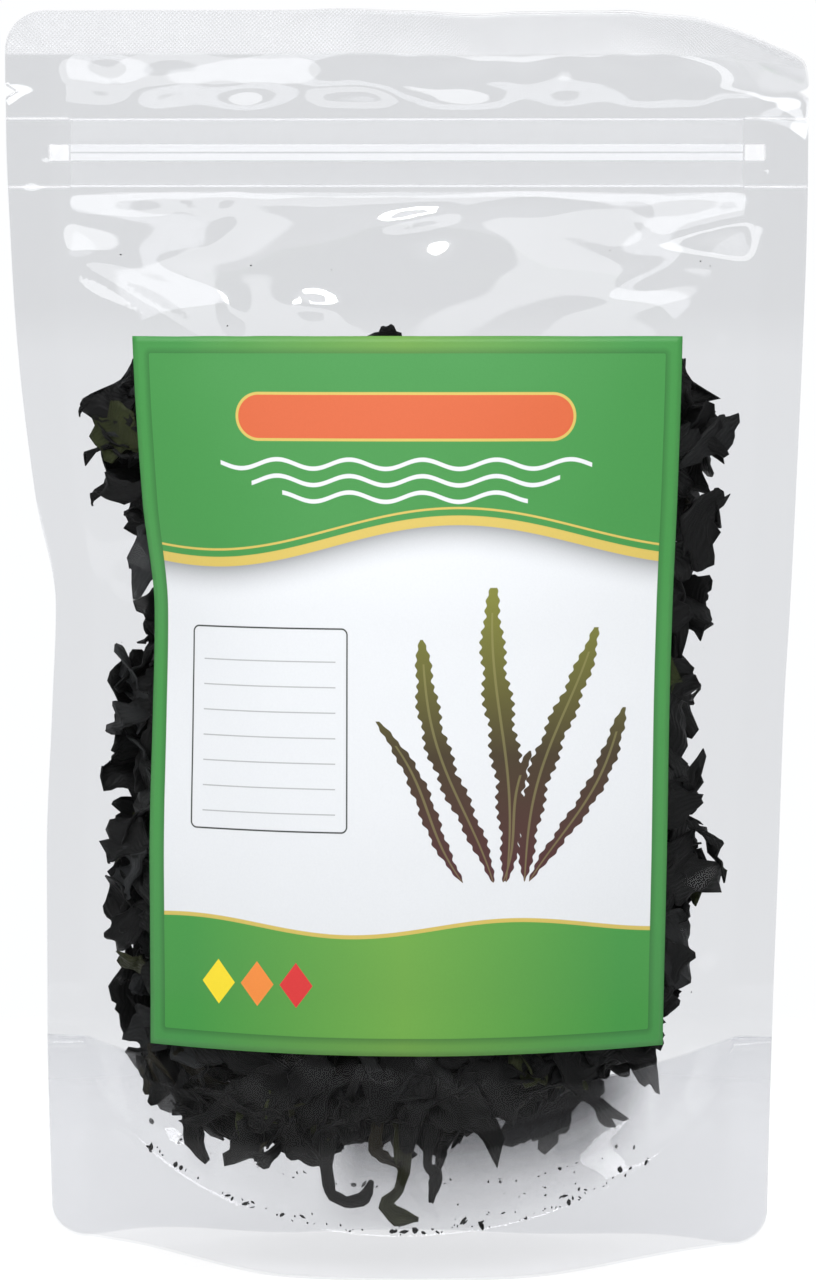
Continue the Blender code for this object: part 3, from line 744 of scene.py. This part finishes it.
# %% Where the flakes may be
CLEARANCE = 0.00055
HEAP_TOP = 0.1815
left_limit = smooth_curve((0.020, 0.052), (0.044, 0.0625), (0.060, 0.066), (0.080, 0.068), (0.105, 0.066),
                          (0.120, 0.0655), (0.131, 0.0615), (0.140, 0.0605), (0.150, 0.066), (0.172, 0.067),
                          (0.179, 0.055))
right_limit = smooth_curve((0.020, 0.050), (0.043, 0.0605), (0.063, 0.0625), (0.082, 0.0685), (0.098, 0.064),
                           (0.106, 0.0615), (0.122, 0.061), (0.136, 0.067), (0.144, 0.062), (0.152, 0.068),
                           (0.170, 0.0665), (0.179, 0.055))


def heap_limit(s, t):
    """How far across the heap reaches at this height."""
    return left_limit(t) if s < 0 else right_limit(t)


def floor_under(s, y):
    """Height of the gusset's upper face below a point inside the pouch."""
    share = min(abs(y) / gusset_reach(s), 1.0)
    return mix(ridge_height(s), seal_arch(s), share) + 2 * FILM


def kept_inside(point, room, top=HEAP_TOP):
    """The nearest place for a point that leaves this much room to the films."""
    t = min(max(point.z, 0.004), top)
    s = film_line(point.x, t)
    limit = min(heap_limit(s, t) + 0.0015, HALF_CAVITY - 0.0012 - room)
    s = min(max(s, -limit), limit)
    depth = max(half_depth(s, t, point.y < 0) - 0.5 * FILM - room, 0.0002)
    y = min(max(point.y, -depth), depth)
    z = max(t, floor_under(s, y) + room)
    if z > t:
        depth = max(half_depth(s, z, y < 0) - 0.5 * FILM - room, 0.0002)
        y = min(max(y, -depth), depth)
    return Vector((across(s, z), y, z))


# %% The flakes' finish
weed = Finish("dried_wakame")
room = weed.node("TexCoord", None, (), 3)
tone = weed.node("Attribute", {"attribute_name": "tone"}, (), 2)
grain = weed.node("Attribute", {"attribute_name": "grain"}, (), 2)
mottle = weed.noise(room, 260.0, 3.0, 0.55)
skin = weed.node("ValToRGB", {"stops": ((0.0, (0.0030, 0.0031, 0.0031)), (0.50, (0.0080, 0.0082, 0.0080)),
                                        (0.80, (0.036, 0.038, 0.039)), (0.90, (0.022, 0.019, 0.012)),
                                        (1.0, (0.033, 0.043, 0.011)))}, (tone,))
skin = weed.blend((mottle - 0.35) * 1.2, skin, (0.004, 0.004, 0.004))
creases = (grain * 7.0 + mottle * 9.0).sin() * 0.5 + mottle
weed.show(weed.principled(Base_Color=skin, Roughness=(0.38 + 0.30 * mottle).held(), Specular_IOR_Level=0.13,
                          Normal=weed.bump(creases, 0.00022, 0.45)))

# %% One flake, and a heap of them
FLAKE_THICKNESS = 0.00040


def add_flake(bm, place, length, width, curl, chance, tone_value, crumple=1.0, top=HEAP_TOP):
    """Adds one lobed, curled and crumpled leaf to a bmesh, pressed inside the films."""
    phase = chance.uniform(0, 90)
    tones, grains = bm.verts.layers.float["tone"], bm.verts.layers.float["grain"]
    bow_up = chance.uniform(-0.25, 0.25)
    for vertex in bmesh.ops.create_grid(bm, x_segments=9, y_segments=5, size=1.0)["verts"]:
        u, w = vertex.co.x, vertex.co.y
        u, w = u * math.sqrt(1 - 0.5 * w * w), w * math.sqrt(1 - 0.5 * u * u)
        edge = math.hypot(u, w)
        way = Vector((u, w, 0)) / max(edge, 1e-6)
        lobes = 0.58 * noise.noise(Vector((1.5 * way.x, 1.5 * way.y, phase)))
        lobes += 0.22 * noise.noise(Vector((4.5 * way.x, 4.5 * way.y, phase)))
        along = 0.5 * length * u * (1 + edge * lobes)
        reach = w * (1 + edge * lobes) * (1 + 0.35 * noise.noise(Vector((2 * u, phase, 5.0))))
        turn = curl * reach
        radius = 0.5 * width / max(abs(curl), 0.2)
        over = radius * math.sin(turn) if abs(curl) > 0.2 else 0.5 * width * reach
        lift = radius * (1 - math.cos(turn)) if abs(curl) > 0.2 else 0.0
        fold_in = Vector((0.0, 0.0, lift + bow_up * length * u * u))
        fold_in += crumple * 0.0030 * noise.noise_vector(Vector((150 * along, 150 * over, phase)))
        fold_in.z += crumple * 0.0012 * noise.noise(Vector((420 * along, 420 * over, phase)))
        vertex.co = kept_inside(place @ (Vector((along, over, 0.0)) + fold_in), CLEARANCE, top)
        vertex[tones] = tone_value
        vertex[grains] = 500 * width * w


def facing_frame(centre, outward, spin, tilt):
    """A frame at centre whose Z leans by tilt from outward, in the direction spin."""
    upright = outward.to_track_quat("Z", "Y").to_matrix().to_4x4()
    leaning = Matrix.Rotation(spin, 4, "Z") @ Matrix.Rotation(tilt, 4, "X")
    return Matrix.Translation(centre) @ upright @ leaning


def any_tone(chance, greyer=0.0):
    """Most flakes are near black, some are grey and a few are olive."""
    if chance.random() < 0.05:
        return chance.uniform(0.88, 1.0)
    return min(chance.uniform(0.0, 0.78) ** 2 + greyer * chance.random(), 0.80)


def new_heap():
    bm = bmesh.new()
    bm.verts.layers.float.new("tone")
    bm.verts.layers.float.new("grain")
    return bm


def finish_heap(name, bm):
    piece = link(name, bm, weed.material)
    wall = piece.modifiers.new("wall", "SOLIDIFY")
    wall.thickness = FLAKE_THICKNESS
    wall.offset = 0.0
    return dressed(piece, "dried_wakame", "wakame_heap")


heap_low = smooth_curve((-0.066, 0.048), (-0.054, 0.037), (-0.036, 0.026), (-0.018, 0.0265), (0.0, 0.0275),
                        (0.012, 0.0315), (0.030, 0.0355), (0.046, 0.043), (0.060, 0.051))


def against_film(side, seed, step):
    """Two layers of flakes that lie against one panel, from side seal to side seal."""
    chance = random.Random(seed)
    bm = new_heap()
    for layer, sunk in enumerate((0.0062, 0.0016)):
        t = 0.030 + 0.004 * layer
        while t < 0.178:
            s = -0.066 + 0.004 * layer
            while s < 0.0665:
                at_s = s + chance.uniform(-0.4, 0.4) * step
                at_t = t + chance.uniform(-0.4, 0.4) * step
                s += step
                past = abs(at_s) - heap_limit(at_s, at_t) + 0.004
                if past > 0 or at_t < heap_low(at_s) or at_t > 0.1785:
                    continue
                loose = (0.20, 0.02) if at_s < 0 else (0.50, 0.20)
                if past > -0.007 and chance.random() < loose[layer]:
                    continue
                room_in = half_depth(at_s, at_t, side < 0)
                centre = Vector((across(at_s, at_t), side * max(room_in - sunk, 0.3 * room_in), at_t))
                outward = Vector((0.9 * at_s / HALF_CAVITY, side, 0.0)).normalized()
                pressed = layer == 1 and chance.random() < 0.5
                tilt = chance.uniform(0, 14) if pressed else chance.uniform(8, 60)
                place = facing_frame(centre, outward, chance.uniform(0, math.tau), math.radians(tilt))
                add_flake(bm, place, chance.uniform(0.010, 0.020), chance.uniform(0.006, 0.0115),
                          chance.uniform(-0.5, 0.5) if pressed else chance.uniform(-1.7, 1.7), chance,
                          any_tone(chance, 0.45 if at_s < -0.045 else 0.0), 0.5 if pressed else 1.0)
            t += step
    return finish_heap("flakes_front" if side < 0 else "flakes_back", bm)


against_film(-1, 5, 0.0083)
against_film(1, 6, 0.0092)


# %% The heap's top, its hanging strips and its core
def top_flakes(seed, count):
    chance = random.Random(seed)
    bm = new_heap()
    for _ in range(count):
        s = chance.uniform(-0.060, 0.060)
        t = chance.uniform(0.162, 0.178)
        depth = half_depth(s, t, True)
        centre = Vector((across(s, t), chance.uniform(-0.8, 0.8) * depth, t))
        place = facing_frame(centre, Vector((0, chance.uniform(-0.6, 0.6), 1)).normalized(),
                             chance.uniform(0, math.tau), math.radians(chance.uniform(0, 70)))
        add_flake(bm, place, chance.uniform(0.010, 0.020), chance.uniform(0.006, 0.011),
                  chance.uniform(-1.8, 1.8), chance, any_tone(chance))
    tip = Matrix.Translation((-0.004, -0.008, 0.1832)) @ Matrix.Rotation(math.radians(80), 4, "X")
    add_flake(bm, tip, 0.006, 0.011, 0.8, chance, 0.1, 0.6, 0.1885)
    return finish_heap("flakes_top", bm)


top_flakes(9, 130)

HANGING = (  # s, low end, length, width, lean in degrees, curl, tone
    (-38, 26, 18, 6, 55, 0.8, 0.3), (-33, 20, 15, 8, 20, 0.4, 0.4), (-53, 33, 18, 6, -15, 0.7, 0.5),
    (-42, 24, 13, 5, -50, 1.2, 0.2), (-28, 20, 12, 5, 60, 1.0, 0.3), (-24, 27, 14, 6, -30, 1.0, 0.2),
    (-6, 29, 12, 5, -20, 0.8, 0.3), (3, 28, 14, 6, 20, 1.0, 0.2), (9, 28, 13, 5, -35, 0.9, 0.2),
    (16, 28, 14, 5, 60, 0.8, 0.2), (23, 30, 14, 5, 75, 0.9, 0.2), (31, 32, 14, 6, 70, 0.6, 0.2),
    (39, 35, 14, 5, 62, 0.8, 0.2), (46, 39, 14, 6, 60, 0.7, 0.3), (53, 43, 13, 5, 30, 0.7, 0.3),
)
STRIPS = (  # tone, then s, t and half width along the strip
    (0.25, ((-16.2, 29, 2.0), (-16.9, 22, 1.3), (-16.0, 16.9, 1.2), (-11.9, 15.3, 1.1), (-8.6, 16.1, 1.4),
            (-7.0, 19.6, 0.4))),
    (0.94, ((-0.3, 32, 2.6), (0.2, 23, 1.6), (-1.4, 17.5, 0.9), (-3.6, 15.0, 1.5), (-1.7, 12.6, 1.9),
            (3.2, 12.0, 0.3))),
    (0.20, ((6.2, 31, 1.8), (5.2, 23, 0.8), (7.0, 20.6, 1.4), (6.0, 15.3, 0.3))),
    (0.90, ((-5.4, 31.5, 1.0), (-6.2, 26.6, 1.5), (-3.6, 24.0, 0.9), (-0.5, 23.0, 0.6))),
    (0.20, ((-46.0, 36, 1.0), (-47.4, 31, 2.4), (-46.6, 26, 2.2), (-43.6, 21.5, 0.6))),
    (0.15, ((9.4, 29, 0.9), (8.4, 25.5, 1.0), (7.4, 21.5, 0.4))),
    (0.30, ((-26.0, 29, 2.0), (-22.5, 24.6, 1.2), (-19.8, 22.6, 0.5))),
)


def add_strip(bm, stations, tone_value, chance):
    """Adds a narrow curled strip along (s, t, half width) stations in mm, just inside the front film."""
    marks = [i / (len(stations) - 1) for i in range(len(stations))]
    s_at, t_at, half_at = (smooth_curve(*zip(marks, column)) for column in zip(*stations))
    tones, grains = bm.verts.layers.float["tone"], bm.verts.layers.float["grain"]
    phase = chance.uniform(0, 90)
    for vertex in bmesh.ops.create_grid(bm, x_segments=16, y_segments=4, size=1.0)["verts"]:
        u, w = (vertex.co.x + 1) / 2, vertex.co.y
        near, far = max(u - 0.03, 0.0), min(u + 0.03, 1.0)
        along = Vector((s_at(far) - s_at(near), t_at(far) - t_at(near))).normalized()
        reach = w * half_at(u) * (1 + 0.5 * noise.noise(Vector((9 * u, 0.8 * w, phase))))
        s, t = (s_at(u) - along.y * reach) / 1000, (t_at(u) + along.x * reach) / 1000
        curled = 0.0009 * w * w + 0.0012 * noise.noise(Vector((5 * u, phase, 2.0)))
        depth = half_depth(s, t, True) - 0.0028 + curled
        vertex.co = kept_inside(Vector((across(s, t), -depth, t)), CLEARANCE)
        vertex[tones] = tone_value
        vertex[grains] = 2.5 * w


def hanging_flakes(side, seed):
    chance = random.Random(seed)
    bm = new_heap()
    upright = Matrix.Rotation(math.radians(84 * -side), 4, "X") @ Matrix.Rotation(math.radians(90), 4, "Z")
    for s, low, length, width, lean, curl, olive in HANGING:
        s, low = (s, low) if side < 0 else (-s, low - 2)
        t = (low + length / 2) / 1000
        depth = half_depth(s / 1000, t, True) - 0.0030
        turned = Matrix.Rotation(math.radians(lean), 4, "Y")
        place = Matrix.Translation((across(s / 1000, t), side * depth, t)) @ turned @ upright
        add_flake(bm, place, length / 1000, width / 1000, curl, chance, olive)
    for tone_value, stations in STRIPS if side < 0 else ():
        add_strip(bm, stations, tone_value, chance)
    for _ in range(95):
        s = chance.uniform(-0.056, 0.054)
        t = heap_low(s) + chance.uniform(0.0, 0.010) - (0.004 if side > 0 else 0.0)
        depth = half_depth(s, t, True) - chance.uniform(0.002, 0.012)
        centre = Vector((across(s, t), side * depth, t))
        place = facing_frame(centre, Vector((0, side, -0.4)).normalized(), chance.uniform(0, math.tau),
                             math.radians(chance.uniform(0, 50)))
        add_flake(bm, place, chance.uniform(0.007, 0.014), chance.uniform(0.004, 0.008),
                  chance.uniform(-1.5, 1.5), chance, any_tone(chance))
    return finish_heap("hanging_front" if side < 0 else "hanging_back", bm)


hanging_flakes(-1, 12)
hanging_flakes(1, 13)


def heap_core():
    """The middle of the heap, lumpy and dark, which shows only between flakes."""
    bm = new_heap()
    bmesh.ops.create_icosphere(bm, subdivisions=5, radius=1.0)
    for vertex in bm.verts:
        way = vertex.co.normalized()
        squarer = max(math.hypot(way.x, way.z), 1e-6) / max((way.x ** 8 + way.z ** 8) ** 0.125, 1e-6)
        inset = 0.0066 + 0.0030 * noise.noise(way * 9) + 0.0015 * noise.noise(way * 24)
        t = mix(0.026 + inset, 0.176 - inset, (way.z * squarer + 1) / 2)
        s = way.x * squarer * (HALF_CAVITY - 0.013 - 1.2 * inset)
        y = math.copysign(abs(way.y) ** 0.5, way.y) * half_depth(s, t, way.y < 0)
        spot = kept_inside(Vector((across(s, t), y, t)), CLEARANCE + inset)
        spot.z = max(spot.z, floor_under(film_line(spot.x, spot.z), 0.0) + 0.5 * inset)
        vertex.co = spot
    return dressed(link("heap_core", bm, weed.material), "dried_wakame", "wakame_heap")


heap_core()

# %% [markdown]
# ## Crumbs
#
# Broken bits sift down and lie along the arched seal, and a few cling to the film higher up. Each is a
# tiny icosphere squashed and dented at random.


# %% Crumbs along the seal and on the film
def add_crumb(bm, centre, size, chance):
    squash = Matrix.Diagonal((chance.uniform(0.6, 1.6), 0.35, chance.uniform(0.3, 0.9), 1))
    turn = Matrix.Rotation(chance.uniform(0, math.tau), 4, "Y")
    matrix = Matrix.Translation(centre) @ turn @ squash
    for vertex in bmesh.ops.create_icosphere(bm, subdivisions=1, radius=size)["verts"]:
        dent = 1 + 0.7 * noise.noise(vertex.co * 1800 + centre * 500)
        vertex.co = matrix @ (vertex.co * dent)


def crumbs(seed):
    chance = random.Random(seed)
    bm = new_heap()
    for side, along_seal in ((-1, 80), (1, 30)):
        for _ in range(along_seal):
            s = chance.uniform(-0.058, 0.058)
            t = seal_arch(s) + 0.0010 + abs(chance.gauss(0, 0.0009))
            depth = half_depth(s, t, True) - 0.0011
            size = min(0.00018 * math.exp(abs(chance.gauss(0, 0.75))), 0.0008)
            add_crumb(bm, Vector((across(s, t), side * depth, t)), size, chance)
        for _ in range(30 if side < 0 else 0):
            s = chance.uniform(0.010, 0.042)
            t = seal_arch(s) + 0.0012 + abs(chance.gauss(0, 0.0045))
            depth = half_depth(s, t, True) - 0.0011
            size = min(0.00015 * math.exp(abs(chance.gauss(0, 0.7))), 0.0006)
            add_crumb(bm, Vector((across(s, t), side * depth, t)), size, chance)
        for _ in range(24):
            s, t = chance.uniform(-0.066, 0.066), chance.uniform(0.05, 0.209)
            depth = half_depth(s, t, side < 0) - 0.0009
            add_crumb(bm, Vector((across(s, t), side * depth, t)), chance.uniform(0.00010, 0.00025), chance)
    bmesh.ops.recalc_face_normals(bm, faces=bm.faces[:])
    return dressed(link("crumbs", bm, weed.material), "dried_wakame", "wakame_heap")


crumbs(17)

# %% [markdown]
# ## Floor, light and camera
#
# The photograph has a white ground and soft light. A pale floor and a white world give both from every
# side. Three soft boxes give the film its crisp highlights: gloss needs something small and bright to
# mirror.

# %% The stage
floor_look = Finish("pale_floor")
speck = floor_look.noise(floor_look.node("TexCoord", None, (), 3), 30.0, 3.0)
floor_tone = floor_look.blend(speck * 0.5, (0.24, 0.24, 0.24), (0.22, 0.22, 0.225))
pale = floor_look.principled(Base_Color=floor_tone, Roughness=0.9, Specular_IOR_Level=0.1,
                             Emission_Color=(1.0, 1.0, 1.0, 1.0), Emission_Strength=0.81)
east, north, _ = floor_look.parts(floor_look.node("TexCoord", None, (), 3))
rim = (((east * east + north * north) ** 0.5 - 0.16) / 0.19).held()
floor_look.show(floor_look.node("MixShader", None, (rim, pale, floor_look.node("BsdfTransparent"))))
floor_look.material.cycles.emission_sampling = "NONE"
ground = bmesh.new()
bmesh.ops.create_circle(ground, cap_ends=True, segments=96, radius=0.36)
floor = link("floor", ground, floor_look.material)
floor.data.transform(Matrix.Translation((0, 0, -0.0002)))

# %% The white room
room_light = bpy.data.worlds.new("white_room")
sky = Finish("white_room", room_light)
east, north, up = sky.parts(sky.node("TexCoord", None, (), 0))


def step_at(value, edge, width):
    """0 below the edge and 1 above it, for values of the room's direction."""
    return ((value - edge) / width + 0.5).held()


behind = step_at(north, -0.05, 0.30)
high = step_at(up, 0.45, 0.12)
zenith = step_at(up, 0.80, 0.12)
low_panel = step_at(-up, 0.20, 0.02) * (1 - step_at(-up, 0.40, 0.02))
ahead = 1 - step_at(abs(east + 0.05), 0.55, 0.03)
high_panel = step_at(up, 0.30, 0.02) * (1 - step_at(up, 0.56, 0.02)) * ahead
front_light = 0.20 + 3.4 * low_panel + 1.9 * high_panel
back_light = 1.02 - 0.60 * high
level = (front_light * (1 - behind) + back_light * behind) * (1 - zenith) + 1.7 * zenith
seen = sky.node("LightPath")
level = level * (1 - seen) + 1.01 * seen
sky.node("OutputWorld", None, (sky.node("Background", None, ((0.985, 0.992, 1.0, 1.0), level)),))
scene.world = room_light


def soft_box(name, place, aim, width, height, radiance):
    """An area light whose panel shines with the given radiance."""
    light = bpy.data.lights.new(name, "AREA")
    light.shape = "RECTANGLE"
    light.size, light.size_y = width, height
    light.energy = radiance * math.pi * width * height
    lamp = bpy.data.objects.new(name, light)
    lamp.location = place
    lamp.rotation_euler = (Vector(aim) - Vector(place)).to_track_quat("-Z", "Y").to_euler()
    lamp.visible_camera = False
    scene.collection.objects.link(lamp)
    print(name, round(light.energy, 2), "W")


soft_box("left_box", (-0.48, -0.56, 0.92), (0, 0, 0.16), 0.17, 0.42, 14.5)
soft_box("right_box", (0.50, -0.54, 0.92), (0, 0, 0.16), 0.15, 0.38, 12.5)
soft_box("top_box", (0.03, -0.50, 0.95), (0, 0, 0.20), 0.46, 0.13, 18.5)

# %% The camera
CAMERA_DISTANCE = 1.077
CAMERA_AZIMUTH, CAMERA_ELEVATION = math.radians(1.33), math.radians(4.40)
aim = Vector((0.0003, 0.0, 0.1250))
away = Vector((math.sin(CAMERA_AZIMUTH) * math.cos(CAMERA_ELEVATION),
               -math.cos(CAMERA_AZIMUTH) * math.cos(CAMERA_ELEVATION), math.sin(CAMERA_ELEVATION)))
camera = bpy.data.objects.new("camera", bpy.data.cameras.new("camera"))
camera.data.lens = 150.8
camera.data.sensor_width = 36.0
camera.location = aim + CAMERA_DISTANCE * away
camera.rotation_euler = (-away).to_track_quat("-Z", "Y").to_euler()
scene.collection.objects.link(camera)
scene.camera = camera
scene.view_settings.view_transform = "Standard"
scene.cycles.transparent_max_bounces = 20
